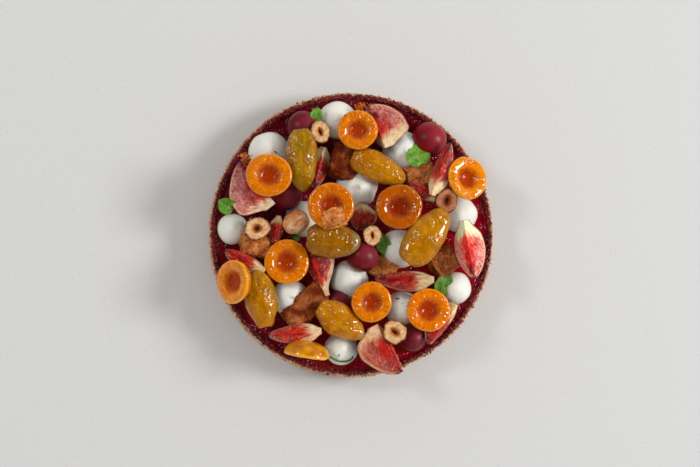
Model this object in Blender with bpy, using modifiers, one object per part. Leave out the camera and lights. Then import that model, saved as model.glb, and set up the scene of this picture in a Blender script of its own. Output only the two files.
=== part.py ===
"""A round fruit tart: a crust ring filled with jelly and covered with loose pieces of fruit,
nuts, sponge and piped cream.

The origin is the centre of the flat underside and +Z is up. Lengths below are in millimetres and
angles in degrees. Each topping is modelled about its own middle, with its long axis along X and its
shown side up, then turned, set over its place and lowered until it rests on what lies under it.
"""

import math

import bmesh
import bpy
from mathutils import Euler, Matrix, Vector, noise
from mathutils.bvhtree import BVHTree

MM = 0.001

# The crust, a straight-sided ring with a floor.
TART_RADIUS = 80.0
CRUST_HEIGHT = 22.0
CRUST_WALL = 3.0
CRUST_FLOOR = 3.0
CRUST_EDGE = 0.9
CRUST_STEPS = 60
CRUST_UNEVEN = 0.45

# The jelly fills the crust to a little under its rim.
JELLY_BELOW_RIM = 2.2
JELLY_STEPS = 60
JELLY_TOP = CRUST_HEIGHT - JELLY_BELOW_RIM

# Touching pieces keep this gap, and fruit sinks this far into a cream kiss.
GAP = 0.3
CREAM_GIVE = 8.0
CUT_GAP = 0.4
FALL_STEP = 1.0
FALL_HALVINGS = 6

CREAM_HEIGHT_SHARE = 1.0
CREAM_STEPS = 12
CUP_STEPS = 14
CUP_DEPTH_SHARE = 0.68
NUT_STEPS = 11
FIG_STATIONS = 8
FIG_ARC_STEPS = 4
FIG_BLUNT = 1.6
FIG_TIP = 0.015
# Where along its length a fig is widest, how abruptly it then narrows, and its neck's share of the width.
FIG_PLUMP = (0.6, 2.1, 0.36)
FIG_OVAL = (0.5, 1.9, 0.36)
FIG_TAPERED = (0.28, 0.9, 0.2)

# The places below are (x, y) in millimetres from the tart's centre, read from above.
# A turn is (heading, pitch, roll): heading about +Z, pitch lifts the +X end, roll lifts the +Y side.

# Piped cream kisses: x, y, radius.
CREAMS = {
    "cream_1": (-8.0, 64.5, 11.0),
    "cream_2": (-47.0, 46.0, 11.6),
    "cream_3": (-67.0, 2.5, 9.0),
    "cream_4": (29.5, 47.0, 12.0),
    "cream_5": (3.0, 26.5, 12.0),
    "cream_6": (61.0, 11.5, 10.6),
    "cream_7": (27.0, -8.5, 11.0),
    "cream_8": (-1.5, -25.8, 11.0),
    "cream_9": (-34.5, -36.5, 10.5),
    "cream_10": (-6.0, -64.5, 9.6),
    "cream_11": (58.6, -30.4, 9.2),
    "cream_12": (28.5, -42.3, 10.0),
}

# Torn sponge: x, y, length, width, height, turn.
SPONGES = {
    "sponge_1": (-3.8, 41.0, 19.0, 14.5, 11.0, (75, 0, 0)),
    "sponge_2": (38.5, 33.0, 17.0, 13.0, 11.0, (20, 0, 6)),
    "sponge_3": (-54.0, -6.5, 17.0, 12.0, 10.0, (-10, 0, 0)),
    "sponge_4": (17.3, -19.8, 17.0, 12.0, 8.5, (-28, 0, 0)),
    "sponge_5": (53.0, -15.5, 16.0, 13.0, 10.0, (35, 0, 0)),
    "sponge_6": (-26.5, -40.5, 24.0, 11.0, 9.0, (41, 0, 0)),
}

# Whole red grapes: x, y, diameter, turn.
GRAPES = {
    "grape_1": (-28.1, 60.3, 17.4, (30, 0, 0)),
    "grape_2": (43.5, 53.2, 19.2, (-50, 0, 0)),
    "grape_3": (-37.2, 21.5, 17.5, (10, 0, 0)),
    "grape_4": (5.2, -13.2, 17.0, (-20, 0, 0)),
    "grape_5": (33.5, -58.8, 15.0, (15, 0, 0)),
    "grape_6": (-8.0, -38.5, 13.5, (-30, 0, 0)),
}

# Fig wedges: blossom end x, y; neck x, y; radius; how far the cut face on the left and the one on
# the right lean from upright, seen from the blossom end; outline.
FIGS = {
    "fig_1": (7.3, 71.4, 17.6, 47.1, 18.0, 80, 5, FIG_PLUMP),
    "fig_2": (-62.9, 39.6, -43.5, 15.7, 19.5, 0, 85, FIG_PLUMP),
    "fig_3": (67.0, -25.8, 61.2, 6.8, 15.0, 26, 42, FIG_OVAL),
    "fig_4": (27.2, -78.0, 13.0, -50.9, 17.0, 80, 12, FIG_PLUMP),
    "fig_5": (41.9, -62.5, 58.2, -39.8, 13.0, 50, 18, FIG_PLUMP),
    "fig_6": (11.5, -25.7, 45.0, -25.7, 13.0, 20, 33, FIG_PLUMP),
    "fig_7": (-25.0, -11.5, -15.5, -35.5, 13.5, 75, 16, FIG_TAPERED),
    "fig_8": (-47.6, -57.0, -17.6, -54.2, 12.0, 24, 32, FIG_PLUMP),
    "fig_9": (-71.5, -9.8, -48.7, -21.0, 10.0, 22, 40, FIG_OVAL),
    "fig_10": (-21.5, 25.1, -15.8, 48.7, 9.5, 30, 26, FIG_PLUMP),
    "fig_11": (3.6, 1.5, 5.0, 16.8, 10.5, 30, 70, FIG_OVAL),
    "fig_12": (53.9, 50.6, 43.2, 20.8, 11.0, 40, 20, FIG_PLUMP),
}

# Pitted golden plums laid skin up, +X the puckered end: x, y, length, width, height, turn.
PLUM_BACKS = {
    "plum_back_1": (-28.6, 40.3, 36.0, 17.5, 11.0, (92, 0, 0)),
    "plum_back_2": (14.0, 36.4, 33.5, 17.0, 11.0, (155, 0, 0)),
    "plum_back_3": (39.8, -2.4, 37.5, 21.5, 11.5, (232, 0, 0)),
    "plum_back_4": (-11.8, -4.5, 31.0, 20.0, 11.0, (175, 0, 0)),
    "plum_back_5": (-51.7, -37.3, 34.0, 18.0, 11.0, (-80, 0, 0)),
    "plum_back_6": (-7.2, -49.0, 31.0, 18.5, 11.0, (145, 0, 0)),
}

# Plum halves with the stone's hollow: x, y, length, width, turn.
PLUM_CUPS = {
    "plum_cup_1": (2.5, 57.0, 22.4, 22.4, (0, 0, 0)),
    "plum_cup_2": (-47.4, 30.8, 26.0, 23.8, (-10, 0, 0)),
    "plum_cup_3": (-13.0, 14.2, 25.6, 25.6, (0, 0, 0)),
    "plum_cup_4": (24.9, 14.0, 26.0, 24.4, (10, 0, 0)),
    "plum_cup_5": (-37.2, -16.2, 25.0, 25.0, (0, 0, 0)),
    "plum_cup_6": (-67.6, -27.6, 25.0, 24.4, (0, 45, 0)),
    "plum_cup_7": (10.0, -38.7, 22.5, 22.5, (0, 0, 0)),
    "plum_cup_8": (41.6, -42.9, 24.4, 24.0, (0, 0, 0)),
    "plum_cup_9": (64.0, 30.9, 24.4, 22.4, (110, 0, 15)),
    "plum_cup_10": (-26.0, -68.4, 25.6, 23.0, (-8, 0, 74)),
}

# Hazelnut halves: x, y, length, width, turn. A roll of 180 shows the skin side.
NUTS = {
    "hazelnut_1": (-18.3, 56.6, 13.0, 11.5, (110, 0, 0)),
    "hazelnut_2": (-53.5, 2.2, 15.0, 13.6, (0, 0, 0)),
    "hazelnut_3": (-31.7, 6.2, 15.0, 13.4, (30, 0, 180)),
    "hazelnut_4": (10.5, -1.7, 12.0, 10.5, (100, 0, 0)),
    "hazelnut_5": (51.8, 17.6, 14.5, 12.8, (75, 0, 0)),
    "hazelnut_6": (23.0, -55.4, 13.8, 13.4, (0, 0, 0)),
}

# Name of material: colour, roughness.
MATERIALS = {
    "crust": ((0.30, 0.16, 0.08), 0.9),
    "jelly": ((0.16, 0.004, 0.010), 0.2),
    "cream": ((0.88, 0.86, 0.80), 0.5),
    "sponge": ((0.24, 0.085, 0.02), 0.85),
    "grape": ((0.16, 0.008, 0.020), 0.25),
    "fig": ((0.45, 0.06, 0.05), 0.4),
    "plum_flesh": ((0.78, 0.24, 0.01), 0.2),
    "plum_skin": ((0.52, 0.27, 0.01), 0.25),
    "hazelnut": ((0.76, 0.52, 0.28), 0.6),
}


def start_empty():
    """Removes the scene's objects and returns the collection that holds the tart."""
    for old in list(bpy.data.objects):
        bpy.data.objects.remove(old)
    tart = bpy.data.collections.new("fruit_tart")
    bpy.context.scene.collection.children.link(tart)
    return tart


def make_materials():
    made = {}
    for name, (colour, roughness) in MATERIALS.items():
        material = bpy.data.materials.new(name)
        material.use_nodes = True
        shader = material.node_tree.nodes["Principled BSDF"]
        shader.inputs["Base Color"].default_value = (*colour, 1.0)
        shader.inputs["Roughness"].default_value = roughness
        made[name] = material
    return made


def evaluated_mesh(obj):
    """The object's mesh with its modifiers applied."""
    graph = bpy.context.evaluated_depsgraph_get()
    return bpy.data.meshes.new_from_object(obj.evaluated_get(graph))


def turned(name, profile, steps):
    """A mesh turned about Z from (radius, height) points that run from the top centre to the base centre."""
    line = bpy.data.meshes.new(name)
    points = [(radius * MM, 0.0, height * MM) for radius, height in profile]
    line.from_pydata(points, [(i, i + 1) for i in range(len(points) - 1)], [])
    blank = bpy.data.objects.new(name, line)
    bpy.context.scene.collection.objects.link(blank)
    screw = blank.modifiers.new("turn", "SCREW")
    screw.steps = screw.render_steps = steps
    screw.use_merge_vertices = True
    screw.merge_threshold = 0.00001
    mesh = evaluated_mesh(blank)
    bpy.data.objects.remove(blank)
    return mesh


def from_bmesh(name, shape):
    mesh = bpy.data.meshes.new(name)
    shape.to_mesh(mesh)
    shape.free()
    return mesh


def lumpy(mesh, amount, size, seed):
    """Moves each point along its normal by smooth noise, so that no two pieces are quite alike."""
    start = Vector((seed * 7.3, seed * 3.1, seed * 5.7))
    moved = [
        v.co + v.normal * amount * MM * noise.noise(v.co / (size * MM) + start)
        for v in mesh.vertices
    ]
    for v, place in zip(mesh.vertices, moved):
        v.co = place
    mesh.update()


def add(collection, name, mesh, material, place=(0.0, 0.0), turn=(0, 0, 0)):
    """An object over its place on the tart, turned but not yet lowered."""
    heading, pitch, roll = (math.radians(angle) for angle in turn)
    shape = bmesh.new()
    shape.from_mesh(mesh)
    bmesh.ops.triangulate(shape, faces=shape.faces)
    shape.to_mesh(mesh)
    shape.free()
    mesh.materials.clear()
    mesh.materials.append(material)
    mesh.shade_smooth()
    obj = bpy.data.objects.new(name, mesh)
    obj.rotation_euler = Euler((roll, -pitch, heading), "XYZ")
    obj.location = (place[0] * MM, place[1] * MM, 0.0)
    collection.objects.link(obj)
    return obj


def crust_mesh():
    """The ring and its floor, with a softly rounded and slightly uneven rim."""
    outer, inner = TART_RADIUS, TART_RADIUS - CRUST_WALL
    edge = CRUST_EDGE
    mesh = turned(
        "crust",
        [
            (0.0, CRUST_FLOOR),
            (inner, CRUST_FLOOR),
            (inner, CRUST_HEIGHT - edge),
            (inner + edge, CRUST_HEIGHT),
            (outer - edge, CRUST_HEIGHT),
            (outer, CRUST_HEIGHT - edge),
            (outer, CRUST_HEIGHT / 2),
            (outer - edge / 3, edge),
            (outer - edge, 0.0),
            (0.0, 0.0),
        ],
        CRUST_STEPS,
    )
    for v in mesh.vertices:
        height = v.co.z / (CRUST_HEIGHT * MM)
        across = Vector((v.co.x, v.co.y, 0.0))
        if height < 0.01 or across.length < (outer - edge - 0.01) * MM:
            continue
        way = across.normalized()
        wobble = noise.noise(way * 4.0) + 0.5 * noise.noise(way * 13.0)
        v.co += way * CRUST_UNEVEN * MM * wobble * height
        v.co.z += 0.5 * CRUST_UNEVEN * MM * wobble * height
    mesh.update()
    return mesh


def jelly_mesh():
    radius = TART_RADIUS - CRUST_WALL - GAP
    bottom = CRUST_FLOOR + GAP
    profile = [(0.0, JELLY_TOP), (radius, JELLY_TOP), (radius, bottom), (0.0, bottom)]
    return turned("jelly", profile, JELLY_STEPS)


def cream_mesh(name, radius, seed):
    """A kiss piped from a round nozzle: a plump dome drawn up to a short tip."""
    height = radius * CREAM_HEIGHT_SHARE
    profile = [
        (0.0, height),
        (0.16 * radius, 0.92 * height),
        (0.48 * radius, 0.80 * height),
        (0.80 * radius, 0.55 * height),
        (1.00 * radius, 0.24 * height),
        (0.90 * radius, 0.00),
        (0.0, 0.0),
    ]
    mesh = turned(name, profile, CREAM_STEPS)
    for v in mesh.vertices:
        share = v.co.z / (height * MM)
        v.co.x += 0.08 * radius * MM * math.sin(seed) * share**2
        v.co.y += 0.08 * radius * MM * math.cos(seed) * share**2
    mesh.update()
    return mesh


def sponge_mesh(name, length, width, height, seed):
    """A torn chunk: a box whose sides lean and whose surface is rough."""
    shape = bmesh.new()
    bmesh.ops.create_cube(shape, size=1.0)
    bmesh.ops.subdivide_edges(shape, edges=shape.edges[:], cuts=2, use_grid_fill=True)
    for v in shape.verts:
        lean = 1.0 - 0.22 * (v.co.z + 0.5)
        rounding = 1.0 - 0.10 * (abs(v.co.x) + abs(v.co.y) + abs(v.co.z) - 0.5)
        v.co = Vector((v.co.x * length * lean, v.co.y * width * lean, v.co.z * height))
        v.co *= rounding * MM
    mesh = from_bmesh(name, shape)
    lumpy(mesh, 3.2, 6.0, seed)
    return mesh


def ball_mesh(name, length, width, height, across, rows):
    shape = bmesh.new()
    bmesh.ops.create_uvsphere(shape, u_segments=across, v_segments=rows, radius=0.5)
    # The poles lie on the long axis, where the stem was.
    bmesh.ops.rotate(shape, matrix=Matrix.Rotation(math.pi / 2, 3, "Y"), verts=shape.verts)
    for v in shape.verts:
        v.co = Vector((v.co.x * length, v.co.y * width, v.co.z * height)) * MM
    return from_bmesh(name, shape)


def plum_back_mesh(name, length, width, height, seed):
    """A plump oval, flatter below, narrower at the blossom end, with a seam and a puckered end."""
    mesh = ball_mesh(name, length, width, height, 12, 8)
    for v in mesh.vertices:
        along = v.co.x / (0.5 * length * MM)
        v.co.y *= 1.0 + 0.16 * along
        if v.co.z < 0.0:
            v.co.z *= 0.7
        else:
            side = v.co.y / (0.5 * width * MM)
            v.co.z *= 1.0 - 0.14 * math.exp(-((side / 0.2) ** 2))
        v.co.x -= 1.2 * MM * max(0.0, along - 0.95) / 0.05
    mesh.update()
    lumpy(mesh, 1.6, 7.0, seed)
    return mesh


def cup_mesh(name, length, width, depth, hollow, hollow_depth, steps, seed):
    """A halved fruit or nut, cut side up, with a hollow of that share of its radius."""
    radius = length / 2
    mesh = turned(
        name,
        [
            (0.0, -hollow_depth),
            (hollow * 0.62 * radius, -0.72 * hollow_depth),
            (hollow * radius, -0.12 * depth * hollow),
            (0.86 * radius, 0.0),
            (1.00 * radius, -0.18 * depth),
            (0.84 * radius, -0.62 * depth),
            (0.45 * radius, -0.93 * depth),
            (0.0, -depth),
        ],
        steps,
    )
    for v in mesh.vertices:
        v.co.y *= width / length
    mesh.update()
    lumpy(mesh, 0.09 * radius, 0.6 * radius, seed)
    return mesh


def fig_radius(share, outline):
    """The fig's radius, as a share of the largest, at a share of its length from the blossom end."""
    widest_at, shoulder, neck = outline
    if share < widest_at:
        back = (widest_at - share) / widest_at
        return max(0.0, 1.0 - back**FIG_BLUNT) ** (1.0 / FIG_BLUNT)
    on = ((share - widest_at) / (1.0 - widest_at)) ** shoulder
    return neck + (1.0 - neck) * 0.5 * (1.0 + math.cos(math.pi * on))


def fig_mesh(name, length, radius, left, right, outline, seed):
    """A wedge lofted along the fig: two flat cut faces that meet on its axis, and the skin below."""
    shape = bmesh.new()
    rings = []
    for i in range(FIG_STATIONS + 1):
        share = FIG_TIP + (1.0 - FIG_TIP) * 0.5 * (1.0 - math.cos(math.pi * i / FIG_STATIONS))
        x = (share - 0.5) * length
        size = radius * fig_radius(share, outline)
        ring = [shape.verts.new((x * MM, 0.0, 0.0))]
        for j in range(FIG_ARC_STEPS + 1):
            angle = math.radians((left + right) * j / FIG_ARC_STEPS - right)
            bump = 1.0 + 0.07 * noise.noise(Vector((seed * 3.7, share * 4.0, angle * 2.0)))
            out = Vector((x, math.sin(angle) * size * bump, -math.cos(angle) * size * bump))
            ring.append(shape.verts.new(out * MM))
        rings.append(ring)
    count = len(rings[0])
    for first, second in zip(rings, rings[1:]):
        for j in range(count):
            k = (j + 1) % count
            shape.faces.new((first[j], first[k], second[k], second[j]))
    shape.faces.new(rings[0])
    shape.faces.new(rings[-1])
    bmesh.ops.recalc_face_normals(shape, faces=shape.faces)
    return from_bmesh(name, shape)


def tree_of(objects, lift=0.0):
    """One search tree over the objects' faces in world space, raised by lift."""
    corners, faces = [], []
    for obj in objects:
        first = len(corners)
        up = Matrix.Translation((0.0, 0.0, lift)) @ obj.matrix_basis
        corners += [up @ v.co for v in obj.data.vertices]
        faces += [[first + i for i in face.vertices] for face in obj.data.polygons]
    return BVHTree.FromPolygons(corners, faces)


def lower(obj, firm, creams):
    """Lowers the piece straight down until it rests on the firm pieces or has sunk into a cream kiss."""
    firm_tree = tree_of(firm)
    cream_tree = tree_of(creams, -CREAM_GIVE * MM) if creams else None

    def touches(height):
        own = tree_of([obj], height)
        return bool(own.overlap(firm_tree)) or bool(cream_tree and own.overlap(cream_tree))

    height = 3 * CRUST_HEIGHT * MM
    while not touches(height - FALL_STEP * MM):
        height -= FALL_STEP * MM
    step = FALL_STEP * MM
    for _ in range(FALL_HALVINGS):
        step /= 2
        if not touches(height - step):
            height -= step
    obj.location.z += height + GAP * MM


def largest_body(mesh):
    """Drops every loose scrap of the mesh but its largest body."""
    shape = bmesh.new()
    shape.from_mesh(mesh)
    left, bodies = set(shape.verts), []
    while left:
        body, front = set(), [left.pop()]
        while front:
            v = front.pop()
            body.add(v)
            for edge in v.link_edges:
                other = edge.other_vert(v)
                if other in left:
                    left.remove(other)
                    front.append(other)
        bodies.append(body)
    keep = max(bodies, key=lambda body: sum(f.calc_area() for v in body for f in v.link_faces))
    bmesh.ops.delete(shape, geom=[v for v in shape.verts if v not in keep], context="VERTS")
    shape.to_mesh(mesh)
    shape.free()


def make_room(cream, piece, cutters):
    """Presses the piece's shape, grown by a small gap, out of the cream."""
    cutter = bpy.data.objects.new("press_" + piece.name, piece.data.copy())
    cutter.matrix_basis = piece.matrix_basis
    grown = [v.co + v.normal * CUT_GAP * MM for v in cutter.data.vertices]
    for v, place in zip(cutter.data.vertices, grown):
        v.co = place
    cutter.hide_render = True
    cutter.display_type = "WIRE"
    cutters.objects.link(cutter)
    press = cream.modifiers.new("press", "BOOLEAN")
    press.operation = "DIFFERENCE"
    press.object = cutter
    mesh = evaluated_mesh(cream)
    cream.modifiers.clear()
    cream.data = mesh
    largest_body(mesh)
    bpy.data.objects.remove(cutter)


def main():
    tart = start_empty()
    cutters = bpy.data.collections.new("cutters")
    bpy.context.scene.collection.children.link(cutters)
    material = make_materials()

    crust = add(tart, "crust", crust_mesh(), material["crust"])
    jelly = add(tart, "jelly", jelly_mesh(), material["jelly"])
    firm, creams = [crust, jelly], []

    for seed, (name, (x, y, radius)) in enumerate(CREAMS.items()):
        mesh = cream_mesh(name, radius, seed)
        creams.append(add(tart, name, mesh, material["cream"], (x, y)))
        lower(creams[-1], firm, [])

    pieces = []
    for seed, (name, (x, y, length, width, height, turn)) in enumerate(SPONGES.items()):
        mesh = sponge_mesh(name, length, width, height, seed)
        pieces.append((name, mesh, "sponge", (x, y), turn))
    for seed, (name, (x, y, size, turn)) in enumerate(GRAPES.items()):
        mesh = ball_mesh(name, 1.06 * size, size, 0.97 * size, 10, 7)
        pieces.append((name, mesh, "grape", (x, y), turn))
    for seed, (name, row) in enumerate(FIGS.items()):
        x, y, neck_x, neck_y, radius, left, right, outline = row
        length = math.hypot(neck_x - x, neck_y - y)
        heading = math.degrees(math.atan2(neck_y - y, neck_x - x))
        mesh = fig_mesh(name, length, radius, left, right, outline, seed)
        middle = ((x + neck_x) / 2, (y + neck_y) / 2)
        pieces.append((name, mesh, "fig", middle, (heading, 0, 0)))
    for seed, (name, (x, y, length, width, turn)) in enumerate(NUTS.items()):
        mesh = cup_mesh(name, length, width, 0.9 * width / 2, 0.36, 2.2, NUT_STEPS, seed)
        pieces.append((name, mesh, "hazelnut", (x, y), turn))
    for seed, (name, (x, y, length, width, height, turn)) in enumerate(PLUM_BACKS.items()):
        mesh = plum_back_mesh(name, length, width, height, seed)
        pieces.append((name, mesh, "plum_skin", (x, y), turn))
    for seed, (name, (x, y, length, width, turn)) in enumerate(PLUM_CUPS.items()):
        depth = CUP_DEPTH_SHARE * length / 2
        mesh = cup_mesh(name, length, width, depth, 0.5, 0.45 * depth, CUP_STEPS, seed)
        pieces.append((name, mesh, "plum_flesh", (x, y), turn))

    for name, mesh, kind, place, turn in pieces:
        obj = add(tart, name, mesh, material[kind], place, turn)
        lower(obj, firm, creams)
        firm.append(obj)

    for cream in creams:
        for piece in firm[2:]:
            if tree_of([cream]).overlap(tree_of([piece])):
                make_room(cream, piece, cutters)


main()
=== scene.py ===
"""The looks of a round fruit tart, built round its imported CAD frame.

Each topping repeats the size and turn of its CAD solid, gets a finer shape, and is set so that its
box shares the CAD solid's middle and top. Sizes in the tables are in millimetres and degrees.
"""

import math

import bpy
import numpy as np
from mathutils import Euler, Matrix, Vector


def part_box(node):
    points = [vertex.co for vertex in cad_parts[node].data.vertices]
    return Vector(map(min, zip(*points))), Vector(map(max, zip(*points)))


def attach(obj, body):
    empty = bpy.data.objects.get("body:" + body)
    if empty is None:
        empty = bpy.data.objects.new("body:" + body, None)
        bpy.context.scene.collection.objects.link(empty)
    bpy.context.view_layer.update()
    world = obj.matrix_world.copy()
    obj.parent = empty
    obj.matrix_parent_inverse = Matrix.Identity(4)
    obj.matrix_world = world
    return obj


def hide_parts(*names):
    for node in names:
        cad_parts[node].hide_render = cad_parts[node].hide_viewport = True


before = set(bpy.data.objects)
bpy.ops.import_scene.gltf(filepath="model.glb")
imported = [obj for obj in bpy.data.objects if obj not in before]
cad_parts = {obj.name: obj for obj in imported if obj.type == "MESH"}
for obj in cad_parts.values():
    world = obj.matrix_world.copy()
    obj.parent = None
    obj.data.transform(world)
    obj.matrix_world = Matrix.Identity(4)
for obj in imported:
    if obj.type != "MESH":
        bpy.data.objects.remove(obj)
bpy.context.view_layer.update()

MM = 0.001
BODY = "root"
# Every piece's points so far, and where fig seeds can lie with the way out of the flesh there.
TOPS = []
SEED_PLACES = []

# ---- sizes and turns, as in the CAD

TART_RADIUS = 80.0
CRUST_HEIGHT = 22.0
CRUST_WALL = 3.0
JELLY_TOP = 19.8
WALL_CRUMBS = 3600
RIM_CRUMBS = 2600

# Cream kisses: radius, tip height share, lean of the tip in degrees, lumpiness, extra height.
CREAMS = [
    (11.0, 1.00, 200, 0.3, 1.5),
    (11.6, 0.95, 120, 0.3, 1.5),
    (9.0, 1.00, 20, 0.3, 0.5),
    (12.0, 1.05, 300, 0.9, 2.5),
    (12.0, 1.10, 330, 1.0, 4.0),
    (10.6, 0.95, 250, 0.5, 0.5),
    (11.0, 0.95, 90, 0.5, 3.5),
    (11.0, 1.00, 60, 0.6, 3.5),
    (10.5, 1.05, 45, 0.7, 1.5),
    (9.6, 1.00, 100, 0.6, 1.0),
    (9.2, 0.95, 210, 0.4, 0.5),
    (10.0, 1.10, 350, 0.8, 8.5),
]

# Torn sponge: length, width, height, turn, how soaked and dark.
SPONGES = [
    (24.0, 18.0, 11.0, (75, 0, 0), 1.0),
    (19.0, 15.0, 11.0, (20, 0, 6), 0.1),
    (19.0, 14.0, 10.0, (-10, 0, 0), 0.3),
    # sponge_4's low soak makes it lighter, partly to stand in for light that its place misses.
    (19.0, 14.0, 8.5, (-28, 0, 0), 0.15),
    (18.0, 15.0, 10.0, (35, 0, 0), 0.45),
    (31.0, 17.0, 9.0, (46, 0, 0), 0.8),
]

# Grapes: diameter, turn.
GRAPES = [
    (17.4, (30, 0, 0)),
    (19.2, (-50, 0, 0)),
    (17.5, (10, 0, 0)),
    (17.0, (-20, 0, 0)),
    (15.0, (15, 0, 0)),
    (13.5, (-30, 0, 0)),
]

# Where along its length a fig is widest, how abruptly it then narrows, and its neck's share.
FIG_PLUMP = (0.6, 2.1, 0.36)
FIG_OVAL = (0.5, 1.9, 0.36)
FIG_TAPERED = (0.28, 0.9, 0.2)
FIG_BLUNT = 1.6
FIG_TIP = 0.015

# Fig wedges: blossom end to neck as x and y, radius, lean of the left and right cut faces, outline,
# how much pale pink haze lies on the flesh, partly its own colour and partly a painted sheen.
FIGS = [
    (10.3, -24.3, 18.0, 80, 5, FIG_PLUMP, 0.9),
    (19.4, -23.9, 19.5, 0, 85, FIG_PLUMP, 0.95),
    (-5.8, 32.6, 11.0, 37, 66, FIG_OVAL, 0.9),
    (-14.2, 27.1, 17.0, 80, 12, FIG_PLUMP, 0.6),
    (16.3, 22.7, 11.0, 65, 21, FIG_PLUMP, 0.1),
    (33.5, 0.0, 8.2, 33, 60, FIG_PLUMP, 0.15),
    (9.5, -24.0, 13.5, 75, 16, FIG_TAPERED, 0.15),
    (30.0, 2.8, 7.5, 41, 58, FIG_PLUMP, 0.25),
    (22.8, -11.2, 7.2, 31, 63, FIG_OVAL, 0.15),
    (5.7, 23.6, 8.0, 55, 48, FIG_PLUMP, 0.1),
    (1.4, 15.3, 10.5, 30, 70, FIG_OVAL, 0.2),
    (-10.7, -29.8, 8.2, 60, 27, FIG_PLUMP, 0.2),
]

# Plums laid skin up: length, width, height, heading, greenness, where a pale cut end begins.
PLUM_BACKS = [
    (36.0, 17.5, 11.0, 92, 0.38, -1.2),
    (33.5, 17.0, 11.0, 155, 0.20, -1.2),
    (37.5, 21.5, 11.5, 232, 0.30, -1.2),
    (31.0, 20.0, 11.0, 175, 0.35, -0.62),
    (34.0, 18.0, 11.0, -80, 0.45, -1.2),
    (31.0, 18.5, 11.0, 145, 0.10, -0.80),
]

# Plum halves, cut side up: length, width, turn.
PLUM_CUPS = [
    (22.4, 22.4, (0, 0, 0)),
    (26.0, 23.8, (-10, 0, 0)),
    (25.6, 25.6, (0, 0, 0)),
    (26.0, 24.4, (10, 0, 0)),
    (25.0, 25.0, (0, 0, 0)),
    (25.0, 24.4, (0, 45, 0)),
    (22.5, 22.5, (0, 0, 0)),
    (24.4, 24.0, (0, 0, 0)),
    (24.4, 22.4, (110, 0, 15)),
    (25.6, 23.0, (-8, 0, 96)),
]

# Hazelnut halves: length, width, turn, hollow's share of the radius, hollow's width against length.
NUTS = [
    (13.0, 11.5, (110, 0, 0), 0.36, 0.5),
    (15.0, 13.6, (0, 0, 0), 0.34, 1.0),
    (15.0, 13.4, (30, 0, 180), 0.30, 1.0),
    (12.0, 10.5, (100, 0, 0), 0.34, 0.4),
    (14.5, 12.8, (75, 0, 0), 0.44, 0.6),
    (13.8, 13.4, (-35, 0, 0), 0.40, 0.5),
]

# How much lighter or darker than its kind a piece is: red, green and blue factors.
# Some are painted light: hazelnut_3, fig_3 and plum_cup_6 are made lighter for the light that their
# places miss.
TONES = {
    "hazelnut_5": (0.62, 0.42, 0.38),
    "hazelnut_3": (1.45, 1.25, 1.15),
    "plum_cup_3": (0.90, 0.82, 0.80),
    "plum_cup_4": (0.66, 0.52, 0.60),
    "plum_cup_6": (1.15, 1.35, 1.50),
    "plum_cup_8": (1.10, 1.02, 1.00),
    "plum_cup_9": (1.18, 1.32, 1.50),
    "plum_cup_10": (1.35, 1.80, 2.20),
    "plum_back_1": (0.78, 0.92, 1.00),
    "plum_back_4": (0.70, 0.66, 0.80),
    "fig_1": (0.92, 0.88, 0.92),
    "fig_2": (0.98, 1.00, 1.15),
    "fig_3": (1.50, 1.42, 1.50),
    "fig_4": (0.98, 0.80, 0.78),
    "fig_6": (0.84, 0.86, 0.86),
    "grape_2": (1.40, 0.85, 0.80),
}
# How much farther along a fig the cream-coloured neck begins, as a share of its length.
LATE_NECKS = {"fig_2": 0.13, "fig_4": 0.04}
# How thick the pale rind is on the wedges where it shows most, as a share of the radius.
WIDE_RINDS = {"fig_7": 0.18, "fig_4": 0.09}
THIN_RIND = 0.055
# Plums that narrow toward the stem.
NARROW_STEMS = {"plum_back_5": 0.15, "plum_back_6": 0.10}
# The hollow of a cut plum, as a share of its radius.
HOLLOW_SHARE = 0.60
# How far, in millimetres, a piece is raised over its CAD place into the light, or lowered onto what
# holds it up.
RAISED = {"hazelnut_3": 8.0, "sponge_6": 2.0, "fig_3": -2.9}

# The name that a topping's finer shape takes, and a slot name for its finish.
SHOWN = {
    "cream": ("cream_kiss", "cream"),
    "sponge": ("sponge_chunk", "sponge"),
    "grape": ("red_grape", "grape"),
    "fig": ("fig_wedge", "fig"),
    "hazelnut": ("nut_half", "hazelnut"),
    "plum_back": ("whole_plum", "plum_skin"),
    "plum_cup": ("cut_plum", "plum_flesh"),
}

# ---- numbers and noise

NOISE_RNG = np.random.default_rng(11)
PERM = NOISE_RNG.permutation(256)
GRADIENTS = NOISE_RNG.normal(size=(256, 3))
GRADIENTS /= np.linalg.norm(GRADIENTS, axis=1, keepdims=True)


def noise(points, size, seed=0.0):
    """Smooth noise from about -1 to 1, with lumps of that size in the points' own unit."""
    where = np.asarray(points, float) / size + seed * 17.31 + 100.0
    base = np.floor(where).astype(int)
    part = where - base
    fade = part**3 * (part * (part * 6.0 - 15.0) + 10.0)
    total = np.zeros(len(where))
    for corner in np.ndindex(2, 2, 2):
        cell = (base + corner) & 255
        key = PERM[(PERM[(PERM[cell[:, 0]] + cell[:, 1]) & 255] + cell[:, 2]) & 255]
        weight = np.prod(np.where(corner, fade, 1.0 - fade), axis=1)
        total += weight * np.einsum("ij,ij->i", GRADIENTS[key], part - corner)
    return total * 1.7


def smooth(low, high, x):
    """0 below low and 1 above high, with a soft change between."""
    t = np.clip((np.asarray(x, float) - low) / (high - low), 0.0, 1.0)
    return t * t * (3.0 - 2.0 * t)


def rgb(red, green, blue):
    """A colour given as 0 to 255 display values, made linear."""
    c = np.array([red, green, blue], float) / 255.0
    return np.where(c <= 0.04045, c / 12.92, ((c + 0.055) / 1.055) ** 2.4)


def mixed(a, b, t):
    """From a where t is 0 to b where t is 1, for each point."""
    return a + (b - a) * np.clip(np.asarray(t, float), 0.0, 1.0)[:, None]


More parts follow.
